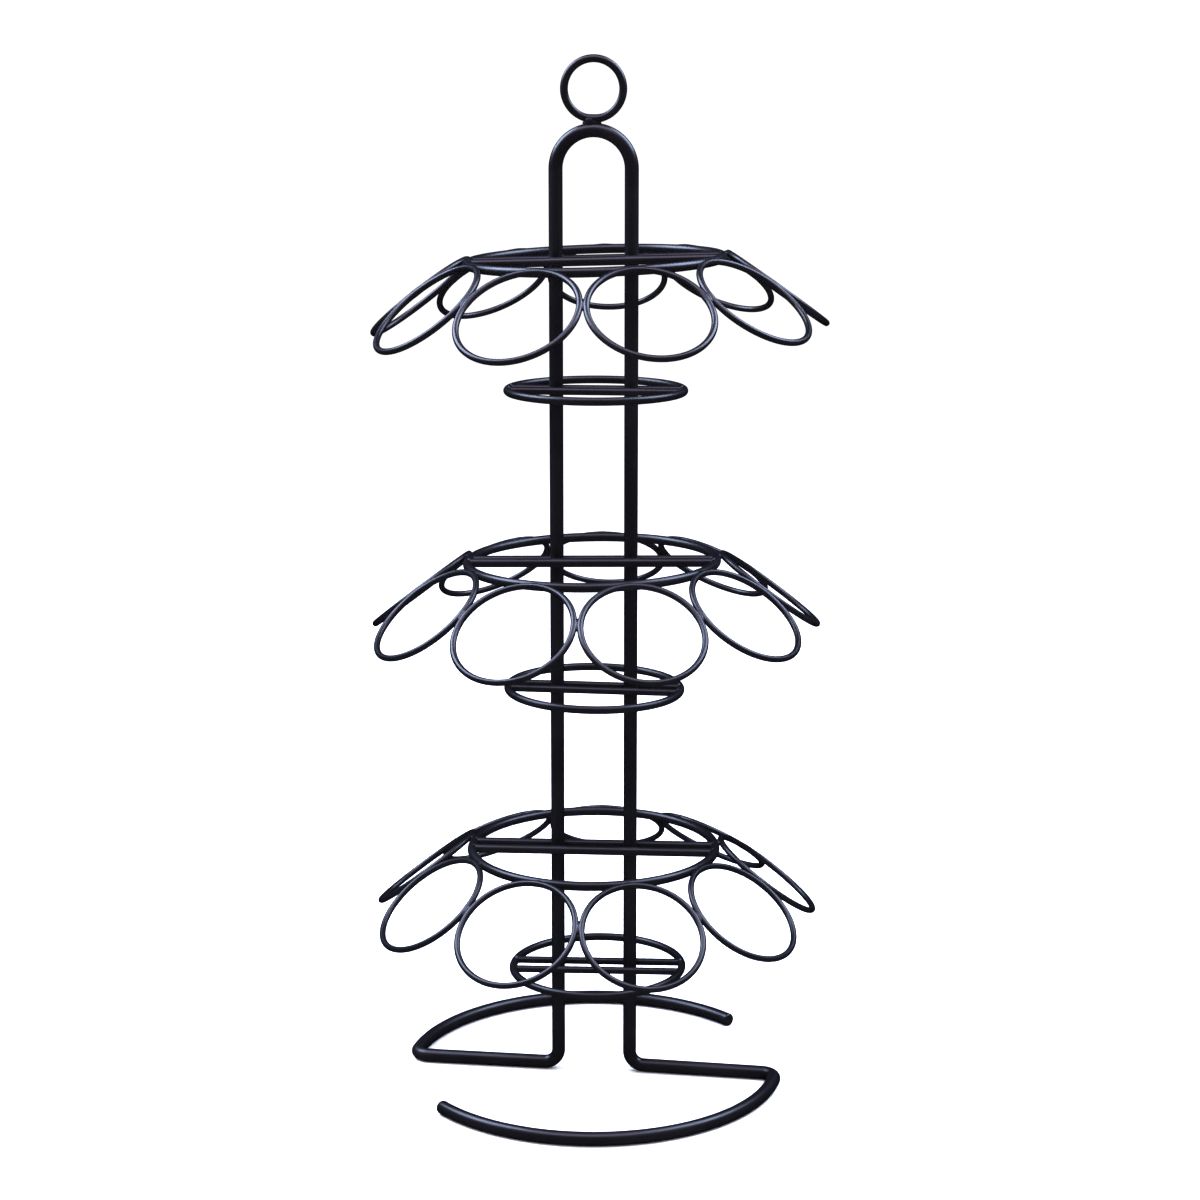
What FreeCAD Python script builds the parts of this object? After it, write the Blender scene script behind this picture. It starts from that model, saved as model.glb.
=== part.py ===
import FreeCAD, Part
import math
import os
from FreeCAD import Placement, Rotation, Vector

# Coffee capsule tree: a stand of welded and coated steel wire, at its real size in millimetres.
# X runs to the right along the foot bars, Y runs to the rear, Z runs up from the table.
# The origin is on the table, midway between the two uprights.

SIZES = (
    ("rod_diameter", 6.1, "rod of the frame"),
    ("upright_half_gap", 16.5, "middle plane to the centre of an upright"),
    ("arch_height", 414.0, "end of the uprights, start of the arch"),
    ("foot_bend_radius", 6.5, "bend from upright to foot bar"),
    ("corner_bend_radius", 6.3, "bend from foot bar to floor arc"),
    ("base_radius", 84.4, "centre line of the floor arcs"),
    ("right_foot_turn_angle", 5.0, "foot bar turned out of the plane of the uprights"),
    ("left_foot_turn_angle", 3.5, "foot bar turned out of the plane of the uprights"),
    ("front_sweep_angle", 139.6, "right side, round the front, to the cut end"),
    ("rear_sweep_angle", 136.7, "left side, round the rear, to the cut end"),
    ("cut_end_rounding", 1.1, "softened edge of the cut ends"),
    ("grip_wire_diameter", 3.4, "wire of the grip ring"),
    ("grip_ring_radius", 12.75, "centre line of the grip ring"),
    ("hoop_wire_diameter", 4.2, "wire of the hoops"),
    ("bar_wire_diameter", 4.0, "wire of the cross bars"),
    ("guard_wire_diameter", 3.6, "wire of the guard hoops"),
    ("guard_bar_wire_diameter", 3.3, "wire of the guard cross bars"),
    ("guard_hoop_radius", 38.8, "centre line of the guard hoops"),
    ("capsule_wire_diameter", 2.8, "wire of the capsule rings"),
    ("capsule_ring_radius", 26.5, "centre line of the capsule rings"),
    ("capsule_tilt_angle", 37.2, "slope of the capsule rings"),
    ("hoop_contact_angle", 10.0, "ring wire sits this far up the side of the hoop wire"),
    ("bar_butt_depth", 0.7, "bar ends short of the hoop centre line"),
    ("bottom_hoop_height", 108.1, "bottom tier"),
    ("middle_hoop_height", 241.3, "middle tier"),
    ("top_hoop_height", 374.9, "top tier"),
    ("bottom_guard_height", 51.0, "bottom tier"),
    ("middle_guard_height", 183.2, "middle tier"),
    ("top_guard_height", 318.0, "top tier"),
    ("bottom_lean_angle", 0.2, "left side of the tier lower than the right"),
    ("middle_lean_angle", 1.0, "left side of the tier lower than the right"),
    ("top_lean_angle", 1.75, "left side of the tier lower than the right"),
    ("bottom_guard_lean_angle", 0.5, "left side of the guard hoop lower than the right"),
    ("middle_guard_lean_angle", -0.7, "left side of the guard hoop lower than the right"),
    ("top_guard_lean_angle", 0.0, "left side of the guard hoop lower than the right"),
    ("bottom_guard_nod_angle", 0.0, "rear of the guard hoop higher than its front"),
    ("middle_guard_nod_angle", 0.0, "rear of the guard hoop higher than its front"),
    ("top_guard_nod_angle", -0.9, "rear of the guard hoop higher than its front"),
    ("bottom_turn_angle", -0.4, "rings of the tier turned anticlockwise, seen from above"),
    ("middle_turn_angle", -0.3, "rings of the tier turned anticlockwise, seen from above"),
    ("top_turn_angle", 0.5, "rings of the tier turned anticlockwise, seen from above"),
    ("bottom_shift", -0.2, "tier welded off centre, to the right"),
    ("middle_shift", -0.8, "tier welded off centre, to the right"),
    ("top_shift", 0.6, "tier welded off centre, to the right"),
    ("bottom_guard_shift", 1.6, "guard hoop welded off centre, to the right"),
    ("middle_guard_shift", 0.2, "guard hoop welded off centre, to the right"),
    ("top_guard_shift", 0.9, "guard hoop welded off centre, to the right"),
    ("bottom_bar_step", 0.0, "front bar above the hoop plane, rear bar below"),
    ("middle_bar_step", 0.4, "front bar above the hoop plane, rear bar below"),
    ("top_bar_step", 0.0, "front bar above the hoop plane, rear bar below"),
    ("bottom_guard_bar_step", -0.5, "front bar above the hoop plane, rear bar below"),
    ("middle_guard_bar_step", 0.0, "front bar above the hoop plane, rear bar below"),
    ("top_guard_bar_step", 0.0, "front bar above the hoop plane, rear bar below"),
)

TIERS = ("bottom", "middle", "top")
RINGS_PER_TIER = 9
FIRST_RING_ANGLE = -70.0
RING_STEP = 360.0 / RINGS_PER_TIER

X_AXIS = Vector(1, 0, 0)
Y_AXIS = Vector(0, 1, 0)
Z_AXIS = Vector(0, 0, 1)

# Two neighbouring rings touch on the plane halfway between them, which sets the ring circle.
RING_CIRCLE = (
    "((Sizes.capsule_ring_radius * sqrt("
    "(cos(Sizes.capsule_tilt_angle) * sin({half}))^2 + cos({half})^2)"
    " + Sizes.capsule_wire_diameter / 2) / sin({half}))"
).format(half=RING_STEP / 2)

# The upper side of each ring touches the outer side of the hoop, which sets the hoop.
HOOP_RADIUS = (
    RING_CIRCLE + " - Sizes.capsule_ring_radius * cos(Sizes.capsule_tilt_angle)"
    " - (Sizes.hoop_wire_diameter + Sizes.capsule_wire_diameter) / 2"
    " * cos(Sizes.hoop_contact_angle)"
)
GUARD_RADIUS = "Sizes.guard_hoop_radius"

doc = FreeCAD.newDocument("CapsuleTree")


def make_sheet():
    sheet = doc.addObject("Spreadsheet::Sheet", "Sizes")
    for row, (alias, value, note) in enumerate(SIZES, start=1):
        sheet.set("A%d" % row, alias)
        sheet.set("B%d" % row, str(value))
        sheet.set("C%d" % row, note)
        sheet.setAlias("B%d" % row, alias)
    doc.recompute()
    return sheet


sizes = make_sheet()


def size(alias):
    return float(getattr(sizes, alias))


def on_arc(center, radius, angle):
    turn = math.radians(angle)
    return center + Vector(radius * math.cos(turn), radius * math.sin(turn), 0)


def arc_edge(start, middle, end):
    return Part.Arc(start, middle, end).toShape()


def foot_edges(side, sweep_angle):
    """One foot, drawn on the right, from the free end of its floor arc up to the upright."""
    lift = size("rod_diameter") / 2
    radius = size("base_radius")
    bend = size("foot_bend_radius")
    corner = size("corner_bend_radius")
    turn = math.radians(size(side + "_foot_turn_angle"))
    center = Vector(0, 0, lift)
    foot = Vector(size("upright_half_gap"), 0, lift)
    along = Vector(math.cos(turn), -math.sin(turn), 0)
    across = Vector(-math.sin(turn), -math.cos(turn), 0)

    # The corner bend touches the foot bar and, from inside, the floor arc.
    side = foot + across * corner - center
    reach = math.sqrt((radius - corner) ** 2 - side.dot(side) + side.dot(along) ** 2)
    corner_center = center + side + along * (reach - side.dot(along))
    bar_end = corner_center - across * corner
    outward = (corner_center - center).normalize()
    arc_start = center + outward * radius
    to_bar = (bar_end - corner_center).normalize()
    corner_middle = corner_center + (to_bar + outward).normalize() * corner

    start_angle = math.degrees(math.atan2(outward.y, outward.x))
    arc_end = on_arc(center, radius, -sweep_angle)
    arc_middle = on_arc(center, radius, (start_angle - sweep_angle) / 2)

    bar_start = foot + along * bend
    bend_center = bar_start + Z_AXIS * bend
    bend_middle = bend_center - (along + Z_AXIS).normalize() * bend
    upright_start = foot + Z_AXIS * bend
    return [
        arc_edge(arc_end, arc_middle, arc_start),
        arc_edge(arc_start, corner_middle, bar_end),
        Part.makeLine(bar_end, bar_start),
        arc_edge(bar_start, bend_middle, upright_start),
    ]


def make_rod_path():
    """Centre line of the whole bent rod, from the front cut end to the rear cut end."""
    gap = size("upright_half_gap")
    top = size("arch_height")
    start = size("rod_diameter") / 2 + size("foot_bend_radius")
    right = foot_edges("right", size("front_sweep_angle"))
    left = foot_edges("left", size("rear_sweep_angle"))
    for edge in left:
        edge.rotate(Vector(0, 0, 0), Z_AXIS, 180)
    middle = [
        Part.makeLine(Vector(gap, 0, start), Vector(gap, 0, top)),
        arc_edge(Vector(gap, 0, top), Vector(0, 0, top + gap), Vector(-gap, 0, top)),
        Part.makeLine(Vector(-gap, 0, top), Vector(-gap, 0, start)),
    ]
    edges = right + middle + left[::-1]
    path = doc.addObject("Part::Feature", "rod_path")
    path.Shape = Part.Wire(Part.__sortEdges__(edges))
    return path


def make_frame():
    path = make_rod_path()
    section = doc.addObject("Part::Circle", "rod_section")
    section.setExpression("Radius", "Sizes.rod_diameter / 2")
    first = path.Shape.OrderedEdges[0]
    start = first.valueAt(first.FirstParameter)
    heading = first.tangentAt(first.FirstParameter)
    section.Placement = Placement(start, Rotation(Z_AXIS, heading))

    rod = doc.addObject("Part::Sweep", "rod")
    rod.Sections = [section]
    rod.Spine = (path, ["Edge%d" % (i + 1) for i in range(len(path.Shape.Edges))])
    rod.Solid = True
    rod.Frenet = False
    doc.recompute()

    frame = doc.addObject("Part::Fillet", "frame")
    frame.Base = rod
    rounding = size("cut_end_rounding")
    ends = path.Shape.OrderedVertexes
    rims = []
    for index, edge in enumerate(rod.Shape.Edges, start=1):
        center = edge.CenterOfMass
        at_end = min(center.distanceToPoint(ends[i].Point) for i in (0, -1))
        if edge.isClosed() and at_end < rounding:
            rims.append((index, rounding, rounding))
    frame.Edges = rims
    frame.Placement = Placement(Vector(0, 0, 0), Rotation())
    return frame


def make_wire_ring(name, radius_formula, wire_alias):
    ring = doc.addObject("Part::Torus", name)
    ring.setExpression("Radius1", radius_formula)
    ring.setExpression("Radius2", "Sizes.%s / 2" % wire_alias)
    return ring


def make_grip_ring():
    """Closed ring that stands upright on the crown of the arch."""
    ring = make_wire_ring("grip_ring", "Sizes.grip_ring_radius", "grip_wire_diameter")
    crown = size("arch_height") + size("upright_half_gap") + size("rod_diameter") / 2
    height = crown + size("grip_wire_diameter") / 2 + size("grip_ring_radius")
    ring.Placement = Placement(Vector(0, 0, height), Rotation(X_AXIS, 90))
    return ring


def tier_placement(tier):
    """Each tier was welded with a slight lean to the left, and a little off centre."""
    center = Vector(size(tier + "_shift"), 0, size(tier + "_hoop_height"))
    return Placement(center, Rotation(Y_AXIS, -size(tier + "_lean_angle")))


def guard_placement(tier):
    center = Vector(size(tier + "_guard_shift"), 0, size(tier + "_guard_height"))
    lean = Rotation(Y_AXIS, -size(tier + "_guard_lean_angle"))
    return Placement(center, lean.multiply(Rotation(X_AXIS, size(tier + "_guard_nod_angle"))))


def make_capsule_ring(tier, number, place):
    """Sloping ring, welded to the outside of the hoop and to the next ring on each side."""
    name = "%s_ring_%d" % (tier, number)
    ring = make_wire_ring(name, "Sizes.capsule_ring_radius", "capsule_wire_diameter")
    tilt = math.radians(size("capsule_tilt_angle"))
    contact = math.radians(size("hoop_contact_angle"))
    half = math.radians(RING_STEP / 2)
    radius = size("capsule_ring_radius")
    spread = math.hypot(math.cos(tilt) * math.sin(half), math.cos(half))
    out = (radius * spread + size("capsule_wire_diameter") / 2) / math.sin(half)
    wires = (size("hoop_wire_diameter") + size("capsule_wire_diameter")) / 2
    height = wires * math.sin(contact) - radius * math.sin(tilt)
    facing = FIRST_RING_ANGLE + RING_STEP * (number - 1) + size(tier + "_turn_angle")
    around = Rotation(Z_AXIS, facing)
    slope = Rotation(Y_AXIS, size("capsule_tilt_angle"))
    center = around.multVec(Vector(out, 0, height))
    ring.Placement = place.multiply(Placement(center, around.multiply(slope)))
    return ring


def make_cross_bar(name, place, side, step, hoop_radius, wire_alias, hoop_wire_alias):
    """Straight bar held against both uprights, its ends coped to the inside of the hoop."""
    offset = (size("rod_diameter") + size(wire_alias)) / 2 * side
    chord = "sqrt((%s)^2 - ((Sizes.rod_diameter + Sizes.%s) / 2)^2)" % (hoop_radius, wire_alias)
    rod = doc.addObject("Part::Cylinder", name + "_rod")
    rod.setExpression("Radius", "Sizes.%s / 2" % wire_alias)
    rod.setExpression("Height", "2 * (%s - Sizes.bar_butt_depth)" % chord)
    doc.recompute()
    start = Vector(-rod.Height.Value / 2, offset, step)
    rod.Placement = Placement(start, Rotation(Z_AXIS, X_AXIS))

    cope = make_wire_ring(name + "_cope", hoop_radius, hoop_wire_alias)
    bar = doc.addObject("Part::Cut", name)
    bar.Base = rod
    bar.Tool = cope
    bar.Placement = place
    return bar


def make_tier(tier):
    place = tier_placement(tier)
    hoop = make_wire_ring(tier + "_hoop", HOOP_RADIUS, "hoop_wire_diameter")
    hoop.Placement = place
    pieces = [hoop]
    for word, side in (("front", -1), ("rear", 1)):
        name = "%s_%s_bar" % (tier, word)
        step = -side * size(tier + "_bar_step")
        pieces.append(make_cross_bar(
            name, place, side, step, HOOP_RADIUS, "bar_wire_diameter", "hoop_wire_diameter"))
    for number in range(1, RINGS_PER_TIER + 1):
        pieces.append(make_capsule_ring(tier, number, place))
    return pieces


def make_guard(tier):
    """Smaller hoop below the rings that keeps the capsules from sliding inward."""
    place = guard_placement(tier)
    hoop = make_wire_ring(tier + "_guard_hoop", GUARD_RADIUS, "guard_wire_diameter")
    hoop.Placement = place
    pieces = [hoop]
    for word, side in (("front", -1), ("rear", 1)):
        name = "%s_guard_%s_bar" % (tier, word)
        step = -side * size(tier + "_guard_bar_step")
        pieces.append(make_cross_bar(
            name, place, side, step, GUARD_RADIUS,
            "guard_bar_wire_diameter", "guard_wire_diameter"))
    return pieces


def check(pieces):
    for item in doc.Objects:
        if "Invalid" in item.State or "Error" in item.State:
            raise RuntimeError("%s failed: %s" % (item.Name, item.State))
    for piece in pieces:
        if piece.Shape.isNull() or not piece.Shape.isValid():
            raise RuntimeError("%s has no valid shape" % piece.Label)
        if len(piece.Shape.Solids) != 1:
            raise RuntimeError("%s is not one solid" % piece.Label)


parts = [make_frame(), make_grip_ring()]
for tier_name in TIERS:
    parts += make_tier(tier_name)
    parts += make_guard(tier_name)

doc.recompute()
check(parts)

os.makedirs("parts", exist_ok=True)
for part in parts:
    part.Shape.exportStep(os.path.join("parts", part.Label + ".step"))
print("parts written:", len(parts))
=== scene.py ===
import math

import bmesh
import bpy
from mathutils import Matrix, Vector, noise


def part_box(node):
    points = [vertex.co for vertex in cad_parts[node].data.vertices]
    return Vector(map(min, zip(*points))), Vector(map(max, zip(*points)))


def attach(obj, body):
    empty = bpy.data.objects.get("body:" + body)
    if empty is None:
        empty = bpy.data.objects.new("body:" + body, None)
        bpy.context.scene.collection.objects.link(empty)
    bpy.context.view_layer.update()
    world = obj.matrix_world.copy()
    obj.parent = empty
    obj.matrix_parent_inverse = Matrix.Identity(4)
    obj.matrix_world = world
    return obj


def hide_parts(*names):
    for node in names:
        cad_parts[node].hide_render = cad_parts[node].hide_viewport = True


# Welded wire tree for coffee capsules, satin black coat.
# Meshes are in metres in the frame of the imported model; the sizes in the dictionaries of the
# wires and beads are in millimetres, those of the studio and the camera in metres.

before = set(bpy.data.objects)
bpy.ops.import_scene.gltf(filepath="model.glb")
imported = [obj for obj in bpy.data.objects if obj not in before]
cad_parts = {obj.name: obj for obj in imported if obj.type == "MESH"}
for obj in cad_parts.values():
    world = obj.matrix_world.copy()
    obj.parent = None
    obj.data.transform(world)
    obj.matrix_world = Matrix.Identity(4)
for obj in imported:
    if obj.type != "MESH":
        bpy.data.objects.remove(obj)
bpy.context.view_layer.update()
mm = 0.001
origin = Vector((0, 0, 0))
xAxis = Vector((1, 0, 0))
yAxis = Vector((0, 1, 0))
zAxis = Vector((0, 0, 1))


class Socket:
    # an output socket that takes part in plain sums

    def __init__(self, bench, link):
        self.bench = bench
        self.link = link

    def sum(self, operation, first, second):
        return self.bench.node("ShaderNodeMath", {"operation": operation}, {0: first, 1: second})

    def __add__(self, other):
        return self.sum("ADD", self, other)

    def __radd__(self, other):
        return self.sum("ADD", other, self)

    def __sub__(self, other):
        return self.sum("SUBTRACT", self, other)

    def __rsub__(self, other):
        return self.sum("SUBTRACT", other, self)

    def __mul__(self, other):
        return self.sum("MULTIPLY", self, other)

    def __rmul__(self, other):
        return self.sum("MULTIPLY", other, self)


class Bench:
    # one material's nodes

    def __init__(self, name):
        self.material = bpy.data.materials.new(name)
        self.material.use_nodes = True
        self.tree = self.material.node_tree
        self.tree.nodes.clear()

    def node(self, kind, settings=None, inputs=None, output=0):
        made = self.tree.nodes.new(kind)
        for key, value in (settings or {}).items():
            if key == "stops":
                self.setStops(made.color_ramp, value)
            else:
                setattr(made, key, value)
        for key, value in (inputs or {}).items():
            if isinstance(value, Socket):
                self.tree.links.new(value.link, made.inputs[key])
            else:
                made.inputs[key].default_value = value
        return Socket(self, made.outputs[output]) if made.outputs else made

    def setStops(self, ramp, stops):
        while len(ramp.elements) < len(stops):
            ramp.elements.new(1.0)
        for element, (place, grey) in zip(ramp.elements, stops):
            element.position = place
            element.color = (grey, grey, grey, 1)

    def objectPlace(self):
        # output 3 of Texture Coordinate is Object
        return self.node("ShaderNodeTexCoord", output=3)

    def noise(self, place, scale, detail=2.0, roughness=0.5):
        return self.node("ShaderNodeTexNoise", {"noise_dimensions": "3D"}, {
            "Vector": place, "Scale": scale, "Detail": detail, "Roughness": roughness})

    def ramp(self, value, stops):
        return self.node("ShaderNodeValToRGB", {"stops": stops}, {"Fac": value})

    def mixColors(self, factor, first, second):
        # sockets 6, 7 and output 2 are the colour ones of a Mix node
        return self.node("ShaderNodeMix", {"data_type": "RGBA"},
                         {0: factor, 6: first, 7: second}, output=2)


coat = {
    "black": (0.0090, 0.0083, 0.0106, 1), "thin": (0.0130, 0.0121, 0.0152, 1),
    "dust": (0.034, 0.035, 0.040, 1),
    # scale and detail of each pattern, and roughness of the finer two
    "clouds": (28, 3), "peel": (1500, 2, 0.55), "lumps": (420, 2), "specks": (900, 4, 0.7),
    "rubbedFrom": 0.42, "rubbedTo": 0.70, "dustFrom": 0.66, "dustTo": 0.76,
    "dustShare": 0.35, "rubbedShine": 0.07, "peelShine": 0.10, "dustShine": 0.12,
    "bump": 0.10, "bumpDepth": 0.3, "ior": 1.5,
}
# shine is the roughness of a clean, unrubbed place; peel and lumps are shares of the bump
finishes = {
    "rodCoat": {"peel": 0.10, "shine": 0.32, "lumps": 0.0},
    "wireCoat": {"peel": 0.12, "shine": 0.32, "lumps": 0.0},
    "weldCoat": {"peel": 0.16, "shine": 0.38, "lumps": 0.30},
}


def makeCoat(name):
    # satin powder coat: fine peel, a little thin at high spots, faint dust and rubbed patches
    look = finishes[name]
    bench = Bench(name)
    place = bench.objectPlace()
    clouds = bench.noise(place, *coat["clouds"])
    peel = bench.noise(place, *coat["peel"])
    lumps = bench.noise(place, *coat["lumps"])
    specks = bench.noise(place, *coat["specks"])
    rubbed = bench.ramp(clouds, [(coat["rubbedFrom"], 0), (coat["rubbedTo"], 1)])
    dust = bench.ramp(specks, [(coat["dustFrom"], 0), (coat["dustTo"], 1)])
    black = bench.mixColors(rubbed, coat["black"], coat["thin"])
    color = bench.mixColors(dust * coat["dustShare"], black, coat["dust"])
    # the peel pattern is even about 0.5
    roughness = (look["shine"] + rubbed * coat["rubbedShine"]
                 + (peel - 0.5) * coat["peelShine"] + dust * coat["dustShine"])
    height = peel * look["peel"] + lumps * look["lumps"]
    bump = bench.node("ShaderNodeBump", {}, {
        "Strength": coat["bump"], "Distance": coat["bumpDepth"] * mm, "Height": height})
    shader = bench.node("ShaderNodeBsdfPrincipled", {}, {
        "Base Color": color, "Roughness": roughness, "Normal": bump, "IOR": coat["ior"]})
    bench.node("ShaderNodeOutputMaterial", {}, {"Surface": shader})
    return bench.material


rodCoat = makeCoat("rodCoat")
wireCoat = makeCoat("wireCoat")
weldCoat = makeCoat("weldCoat")
print("coats mixed")


def turn(degrees, axis):
    return Matrix.Rotation(math.radians(degrees), 4, axis)


def addPiece(name, bm, finish, slotName, *nodes):
    # finished mesh with its place in it; nodes are the CAD nodes that it stands for
    bmesh.ops.recalc_face_normals(bm, faces=bm.faces)
    for face in bm.faces:
        face.smooth = True
    mesh = bpy.data.meshes.new(name)
    bm.to_mesh(mesh)
    bm.free()
    mesh.materials.append(finish)
    piece = bpy.data.objects.new(name, mesh)
    bpy.context.scene.collection.objects.link(piece)
    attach(piece, "root")
    if nodes:
        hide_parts(*nodes)


def addSection(bm, diameter, sides, place):
    # round section of a wire, facing along Y of its place
    verts = bmesh.ops.create_circle(bm, segments=sides, radius=diameter / 2)["verts"]
    bmesh.ops.transform(bm, matrix=place @ turn(90, "X"), verts=verts)
    return verts, list({edge for vert in verts for edge in vert.link_edges})


def addRing(bm, radius, diameter, place, sides, steps):
    # wire closed into a ring about Z of its place
    verts, edges = addSection(bm, diameter, sides, Matrix.Translation((radius, 0, 0)))
    bmesh.ops.spin(bm, geom=verts + edges, cent=origin, axis=zAxis,
                   angle=math.tau, steps=steps, use_merge=True)
    bmesh.ops.transform(bm, matrix=place, verts=bm.verts)


def swell(bm, welds, reach, height):
    # wire upset and coated thicker beside its welds, fading smoothly to nothing at the reach
    bm.normal_update()
    moves = []
    for vert in bm.verts:
        near = min((vert.co - weld).length for weld in welds)
        if near < reach:
            share = 1 - near / reach
            moves.append((vert, vert.normal * height * share * share * (3 - 2 * share)))
    for vert, move in moves:
        vert.co += move


def middleOf(node):
    low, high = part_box(node)
    return (low + high) / 2


rod = {
    "diameter": 6.1, "halfGap": 16.5, "archHeight": 414.0,
    "footBend": 6.5, "cornerBend": 6.3, "baseRadius": 84.4,
    "rightFootTurn": 5.0, "leftFootTurn": 3.5, "frontSweep": 139.6, "rearSweep": 136.7,
    "endRounding": 1.1, "endSteps": 5,
    "sides": 36, "bendSteps": 14, "archSteps": 40, "arcStep": 2.5,
}


def footMoves(footTurn, sweep):
    # bends and runs of a foot on the right, from the free end of its floor arc to the upright:
    # a bend is (centre, axis, degrees, steps), a run is a vector
    lift = rod["diameter"] / 2 * mm
    radius, corner, bend = rod["baseRadius"] * mm, rod["cornerBend"] * mm, rod["footBend"] * mm
    aim = math.radians(footTurn)
    along = Vector((math.cos(aim), -math.sin(aim), 0))
    across = Vector((-math.sin(aim), -math.cos(aim), 0))
    center = Vector((0, 0, lift))
    foot = Vector((rod["halfGap"] * mm, 0, lift))
    side = foot + across * corner - center
    reach = math.sqrt((radius - corner) ** 2 - side.length_squared + side.dot(along) ** 2)
    cornerCenter = center + side + along * (reach - side.dot(along))
    barEnd = cornerCenter - across * corner
    barStart = foot + along * bend
    outward = (cornerCenter - center).normalized()
    outAngle = math.degrees(math.atan2(outward.y, outward.x))
    cornerAngle = math.degrees(outward.angle(-across))
    start = center + turn(-sweep, "Z") @ Vector((radius, 0, 0))
    moves = [
        (center, zAxis, sweep + outAngle, round((sweep + outAngle) / rod["arcStep"])),
        (cornerCenter, zAxis, cornerAngle, rod["bendSteps"]),
        barStart - barEnd,
        (barStart + zAxis * bend, -across, 90, rod["bendSteps"]),
    ]
    return start, moves


def backwards(moves):
    # the same moves from the other end, on the left side
    half = turn(180, "Z")
    found = []
    for move in reversed(moves):
        if isinstance(move, Vector):
            found.append(-(half @ move))
        else:
            center, axis, degrees, steps = move
            found.append((half @ center, half @ axis, -degrees, steps))
    return found


def onlyVerts(made):
    return [item for item in made if isinstance(item, bmesh.types.BMVert)]


def makeFrameRod():
    # the section travels from the free end of the front arc to the free end of the rear one
    top = rod["archHeight"] * mm
    upright = zAxis * (top - (rod["diameter"] / 2 + rod["footBend"]) * mm)
    start, rightFoot = footMoves(rod["rightFootTurn"], rod["frontSweep"])
    leftFoot = footMoves(rod["leftFootTurn"], rod["rearSweep"])[1]
    arch = (zAxis * top, yAxis, -180, rod["archSteps"])
    moves = rightFoot + [upright, arch, -upright] + backwards(leftFoot)

    bm = bmesh.new()
    place = Matrix.Translation(start) @ turn(-rod["frontSweep"], "Z")
    verts, edges = addSection(bm, rod["diameter"] * mm, rod["sides"], place)
    rims = [edges]
    for move in moves:
        if isinstance(move, Vector):
            made = bmesh.ops.extrude_edge_only(bm, edges=edges)["geom"]
            verts = onlyVerts(made)
            bmesh.ops.translate(bm, verts=verts, vec=move)
        else:
            center, axis, degrees, steps = move
            made = bmesh.ops.spin(bm, geom=verts + edges, cent=center, axis=axis,
                                  angle=math.radians(degrees), steps=steps)["geom_last"]
            verts = onlyVerts(made)
        # an extrusion also returns the walls' edges, which don't lie in the new section
        edges = [item for item in made if isinstance(item, bmesh.types.BMEdge)
                 and all(vert in verts for vert in item.verts)]
    rims.append(edges)
    for rim in rims:
        bmesh.ops.contextual_create(bm, geom=rim)
        bmesh.ops.bevel(bm, geom=rim, offset=rod["endRounding"] * mm, offset_type="OFFSET",
                        affect="EDGES", segments=rod["endSteps"], profile=0.5, material=-1)
    addPiece("frameRod", bm, rodCoat, "frame_rod", "frame")


makeFrameRod()
print("frame rod bent")


grip = {
    "radius": 12.75, "diameter": 3.4, "sides": 28, "steps": 96,
    "weldReach": 5.0, "weldSwell": 0.35,
}


def makeGripRing():
    bm = bmesh.new()
    center = middleOf("grip_ring")
    place = Matrix.Translation(center) @ turn(90, "X")
    addRing(bm, grip["radius"] * mm, grip["diameter"] * mm, place, grip["sides"], grip["steps"])
    seat = center - zAxis * grip["radius"] * mm
    swell(bm, [seat], grip["weldReach"] * mm, grip["weldSwell"] * mm)
    addPiece("gripRing", bm, rodCoat, "grip_wire", "grip_ring")


makeGripRing()
print("grip ring bent")


tiers = {
    "leans": {"bottom": 0.2, "middle": 1.0, "top": 1.75},
    "turns": {"bottom": -0.4, "middle": -0.3, "top": 0.5},
    "guardLeans": {"bottom": 0.5, "middle": -0.7, "top": 0.0},
    "guardNods": {"bottom": 0.0, "middle": 0.0, "top": -0.9},
    "hoopRadius": 55.345, "hoopDiameter": 4.2, "hoopSteps": 180,
    "guardRadius": 38.8, "guardDiameter": 3.6, "guardSteps": 144,
    "ringRadius": 26.5, "ringDiameter": 2.8, "ringSteps": 132, "ringTilt": 37.2,
    "weldReach": 3.6, "weldSwell": 0.22,
    "ringCount": 9, "firstRing": -70.0,
    "hoopSides": 28, "ringSides": 24,
}
ringTurn = 360 / tiers["ringCount"]


def ringNode(tier, number):
    return "%s_ring_%d" % (tier, number)


def barNodes(tier):
    return [tier + ending for ending in ("_front_bar", "_guard_front_bar",
                                         "_rear_bar", "_guard_rear_bar")]


def facing(tier, number):
    # lean of the tier and turn round its hoop; half numbers lie between two rings
    around = tiers["firstRing"] + ringTurn * (number - 1) + tiers["turns"][tier]
    return turn(-tiers["leans"][tier], "Y") @ turn(around, "Z")


def ringFacing(tier, number):
    return facing(tier, number) @ turn(tiers["ringTilt"], "Y")


def hoopWeld(tier, number):
    # where the top of a ring lies against the hoop: (spot, along, out)
    ring = middleOf(ringNode(tier, number))
    top = ring - (ringFacing(tier, number) @ xAxis) * tiers["ringRadius"] * mm
    outward = facing(tier, number) @ xAxis
    hoop = middleOf(tier + "_hoop") + outward * tiers["hoopRadius"] * mm
    inward = (hoop - top).normalized()
    return top + inward * tiers["ringDiameter"] / 2 * mm, facing(tier, number) @ yAxis, inward


def neighbourWeld(tier, number):
    # where a ring lies against the next one: (spot, along, out)
    following = number % tiers["ringCount"] + 1
    across = facing(tier, number + 0.5) @ yAxis
    spots = []
    for ring, side in ((number, 1), (following, -1)):
        normal = ringFacing(tier, ring) @ zAxis
        flat = (across - normal * across.dot(normal)).normalized() * side
        spots.append(middleOf(ringNode(tier, ring)) + flat * tiers["ringRadius"] * mm)
    along = normal.cross(flat).normalized()
    return (spots[0] + spots[1]) / 2, along, across


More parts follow.
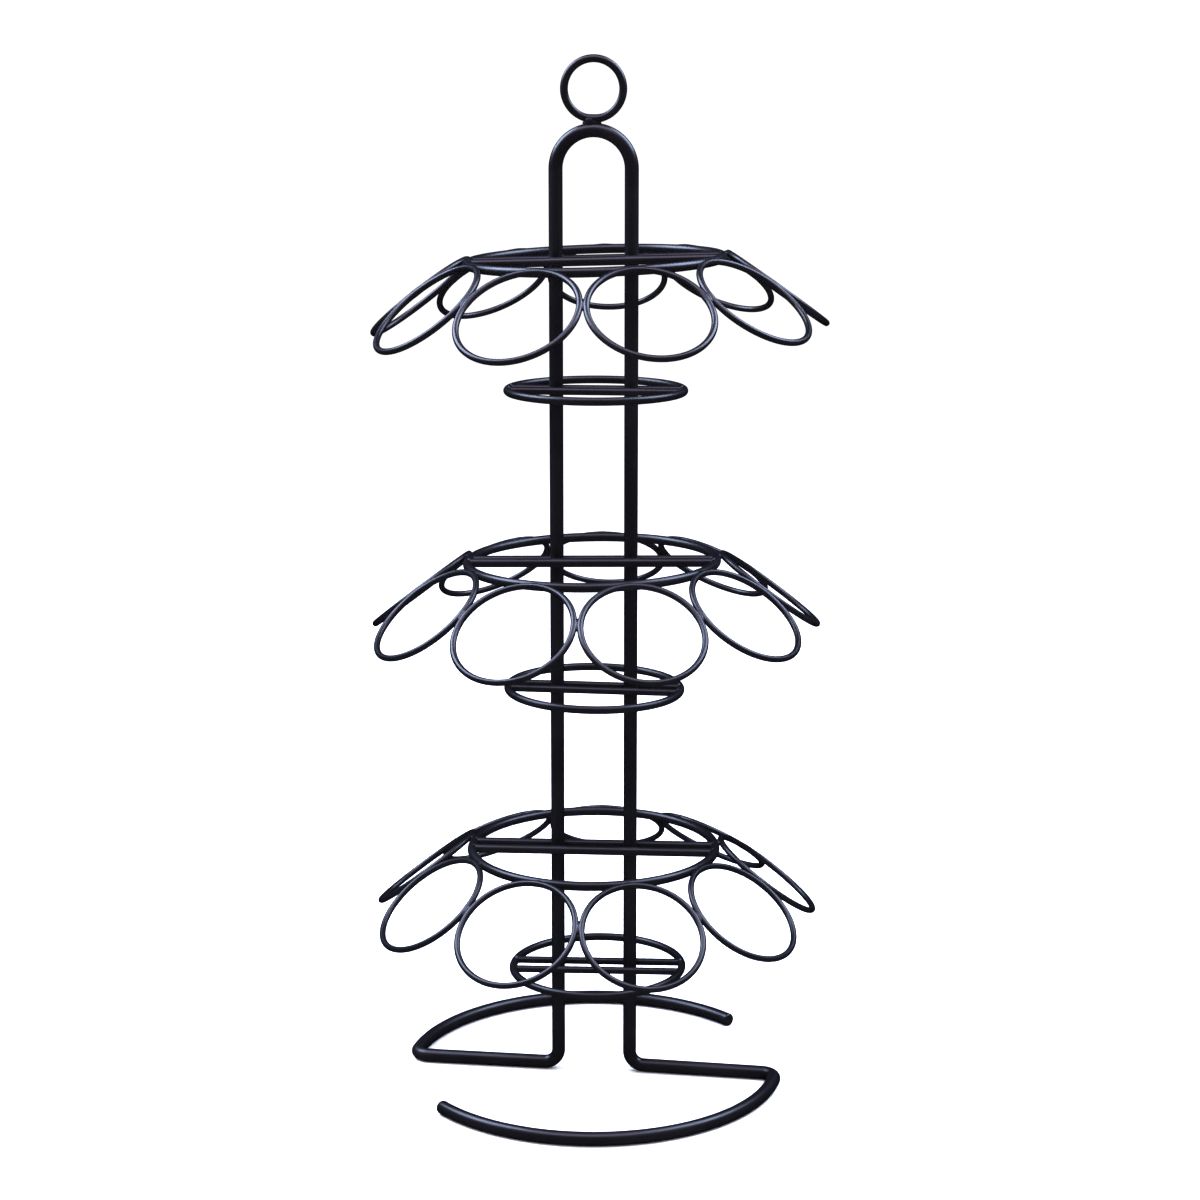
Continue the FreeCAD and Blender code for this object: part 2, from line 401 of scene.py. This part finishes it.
def makeTier(tier):
    # the hoop, its guard hoop and the capsule rings; the bars keep their CAD shape
    lean = turn(-tiers["leans"][tier], "Y")
    numbers = range(1, tiers["ringCount"] + 1)
    hoopWelds = [hoopWeld(tier, number) for number in numbers]
    neighbourWelds = [neighbourWeld(tier, number) for number in numbers]

    bm = bmesh.new()
    addRing(bm, tiers["hoopRadius"] * mm, tiers["hoopDiameter"] * mm,
            Matrix.Translation(middleOf(tier + "_hoop")) @ lean,
            tiers["hoopSides"], tiers["hoopSteps"])
    addPiece(tier + "Hoop", bm, wireCoat, "hoop_wire", tier + "_hoop")

    bm = bmesh.new()
    guardLean = turn(-tiers["guardLeans"][tier], "Y") @ turn(tiers["guardNods"][tier], "X")
    addRing(bm, tiers["guardRadius"] * mm, tiers["guardDiameter"] * mm,
            Matrix.Translation(middleOf(tier + "_guard_hoop")) @ guardLean,
            tiers["hoopSides"], tiers["guardSteps"])
    addPiece(tier + "GuardHoop", bm, wireCoat, "guard_wire", tier + "_guard_hoop")

    for number in numbers:
        node = ringNode(tier, number)
        bm = bmesh.new()
        addRing(bm, tiers["ringRadius"] * mm, tiers["ringDiameter"] * mm,
                Matrix.Translation(middleOf(node)) @ ringFacing(tier, number),
                tiers["ringSides"], tiers["ringSteps"])
        welds = [hoopWelds[number - 1][0], neighbourWelds[number - 1][0],
                 neighbourWelds[number - 2][0]]
        swell(bm, welds, tiers["weldReach"] * mm, tiers["weldSwell"] * mm)
        addPiece("%sRing%d" % (tier, number), bm, wireCoat, "ring_wire", node)
    for node in barNodes(tier):
        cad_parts[node].material_slots[0].material = wireCoat
    addTierBeads(tier, hoopWelds, neighbourWelds)
    print(tier, "tier bent and welded")


beads = {
    # half sizes of each bead: along the seam, outward and across; a Place is from the crown
    "hoop": (3.0, 1.5, 1.4), "neighbour": (3.4, 1.3, 1.3),
    "barEnd": (1.2, 2.2, 2.1), "tack": (1.5, 1.2, 1.0),
    "grip": (4.0, 2.3, 2.0), "gripPlace": (-0.7, 0.0, 0.0),
    "gripLump": (2.1, 2.7, 1.2), "gripLumpPlace": (-1.7, -1.1, 0.3),
    "tackGap": 0.1, "tackDrop": 0.75,
    "detail": 4, "unevenness": 0.12, "lumpiness": 1.9, "drift": (3.7, 1.9, 5.3),
    "neighbourSeed": 20, "barSeed": 40, "gripSeed": 90,
}


def addBead(bm, spot, along, out, half, seed):
    # uneven lump of weld; each seed gives another shape
    verts = bmesh.ops.create_icosphere(bm, subdivisions=beads["detail"], radius=1)["verts"]
    drift = Vector(beads["drift"]) * seed
    for vert in verts:
        lump = noise.noise(vert.co * beads["lumpiness"] + drift)
        vert.co *= 1 + beads["unevenness"] * lump
    along = along.normalized()
    out = (out - along * out.dot(along)).normalized()
    axes = Matrix((along, out, along.cross(out))).transposed().to_4x4()
    sizes = Matrix.Diagonal([value * mm for value in half]).to_4x4()
    bmesh.ops.transform(bm, matrix=Matrix.Translation(spot) @ axes @ sizes, verts=verts)


def barWelds(tier, node):
    # where a bar meets its hoop, and where it is tacked from below to both uprights
    low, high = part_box(node)
    middle = (low + high) / 2
    lean = tiers["guardLeans" if "guard" in node else "leans"][tier]
    slope = math.tan(math.radians(lean))
    ends = [Vector((x, middle.y, middle.z + (x - middle.x) * slope)) for x in (low.x, high.x)]
    face = rod["diameter"] / 2 * mm
    wireRadius = abs(middle.y) - face
    depth = math.copysign(face + beads["tackGap"] * mm, middle.y)
    tacks = []
    for x in (-rod["halfGap"] * mm, rod["halfGap"] * mm):
        height = middle.z + (x - middle.x) * slope - wireRadius * beads["tackDrop"]
        tacks.append(Vector((x, depth, height)))
    return ends, tacks


def addTierBeads(tier, hoopWelds, neighbourWelds):
    bm = bmesh.new()
    for index, (spot, along, out) in enumerate(hoopWelds):
        addBead(bm, spot, along, out, beads["hoop"], index)
    addPiece(tier + "HoopWelds", bm, weldCoat, "hoop_wire")

    bm = bmesh.new()
    for index, (spot, along, out) in enumerate(neighbourWelds):
        addBead(bm, spot, along, out, beads["neighbour"], beads["neighbourSeed"] + index)
    addPiece(tier + "RingWelds", bm, weldCoat, "ring_wire")

    bm = bmesh.new()
    seed = beads["barSeed"]
    for node in barNodes(tier):
        ends, tacks = barWelds(tier, node)
        for kind, spots in (("barEnd", ends), ("tack", tacks)):
            for spot in spots:
                addBead(bm, spot, xAxis, zAxis, beads[kind], seed)
                seed += 1
    addPiece(tier + "BarWelds", bm, weldCoat, "guard_wire")


def addGripWeld():
    crown = middleOf("grip_ring") - zAxis * (grip["radius"] + grip["diameter"] / 2) * mm
    seam = crown + Vector(beads["gripPlace"]) * mm
    lump = crown + Vector(beads["gripLumpPlace"]) * mm
    bm = bmesh.new()
    addBead(bm, seam, xAxis, zAxis, beads["grip"], beads["gripSeed"])
    addBead(bm, lump, xAxis, zAxis, beads["gripLump"], beads["gripSeed"] + 1)
    addPiece("gripWeld", bm, weldCoat, "grip_wire")


for tierName in tiers["leans"]:
    makeTier(tierName)
addGripWeld()
print("welds laid")


studio = {
    "floorSize": 6.0, "floorColor": (0.95, 0.95, 0.95, 1),
    "floorShine": 0.1, "floorRoughness": 0.85, "floorGrain": 0.1, "floorGrainScale": 3,
    "skyStrength": 1.06, "skyColor": (1.0, 1.0, 1.0, 1),
    "leftBox": {"place": (-0.62, 0.10, 0.92), "size": (0.60, 0.60), "power": 18.5,
                "color": (0.64, 0.74, 1.0)},
    "rightBox": {"place": (0.58, 0.16, 0.96), "size": (0.60, 0.60), "power": 16.0,
                 "color": (0.64, 0.74, 1.0)},
    "topBox": {"place": (0.0, -0.50, 1.90), "size": (1.60, 1.20), "power": 30.0,
               "color": (0.84, 0.74, 1.0)},
    "boxTarget": (0.0, 0.0, 0.30), "viewGamma": 0.8,
}


def makeFloor():
    bench = Bench("paleFloor")
    grain = bench.noise(bench.objectPlace(), studio["floorGrainScale"])
    shader = bench.node("ShaderNodeBsdfPrincipled", {}, {
        "Base Color": studio["floorColor"], "Specular IOR Level": studio["floorShine"],
        "Roughness": studio["floorRoughness"] + grain * studio["floorGrain"]})
    bench.node("ShaderNodeOutputMaterial", {}, {"Surface": shader})
    bm = bmesh.new()
    bmesh.ops.create_grid(bm, x_segments=1, y_segments=1, size=studio["floorSize"] / 2)
    mesh = bpy.data.meshes.new("floor")
    bm.to_mesh(mesh)
    bm.free()
    mesh.materials.append(bench.material)
    floor = bpy.data.objects.new("floor", mesh)
    bpy.context.scene.collection.objects.link(floor)
    floor.visible_glossy = False  # the coat mirrors only the softboxes


def makeSky():
    sky = bpy.data.worlds.new("studioSky")
    sky.use_nodes = True
    glow = sky.node_tree.nodes["Background"]
    glow.inputs["Color"].default_value = studio["skyColor"]
    glow.inputs["Strength"].default_value = studio["skyStrength"]
    sky.cycles_visibility.glossy = False
    bpy.context.scene.world = sky


def makeSoftbox(name):
    facts = studio[name]
    lamp = bpy.data.lights.new(name, "AREA")
    lamp.shape = "RECTANGLE"
    lamp.size, lamp.size_y = facts["size"]
    lamp.energy = facts["power"]
    lamp.color = facts["color"]
    box = bpy.data.objects.new(name, lamp)
    box.location = facts["place"]
    aim = Vector(studio["boxTarget"]) - box.location
    box.rotation_euler = aim.to_track_quat("-Z", "Y").to_euler()
    box.visible_camera = False
    bpy.context.scene.collection.objects.link(box)


# lens and sensor are in millimetres, the angles in degrees
viewpoint = {"place": (0.0879, -1.1481, 0.4821), "pitch": 77.348, "heading": 4.241,
             "lens": 79.258, "sensor": 36}


def makeCamera():
    lens = bpy.data.cameras.new("camera")
    lens.lens = viewpoint["lens"]
    lens.sensor_width = viewpoint["sensor"]
    camera = bpy.data.objects.new("camera", lens)
    camera.location = viewpoint["place"]
    camera.rotation_euler = (math.radians(viewpoint["pitch"]), 0,
                             math.radians(viewpoint["heading"]))
    bpy.context.scene.collection.objects.link(camera)
    bpy.context.scene.camera = camera


makeFloor()
makeSky()
for boxName in ("leftBox", "rightBox", "topBox"):
    makeSoftbox(boxName)
makeCamera()
bpy.context.scene.view_settings.view_transform = "Standard"
bpy.context.scene.view_settings.gamma = studio["viewGamma"]
print("studio set")
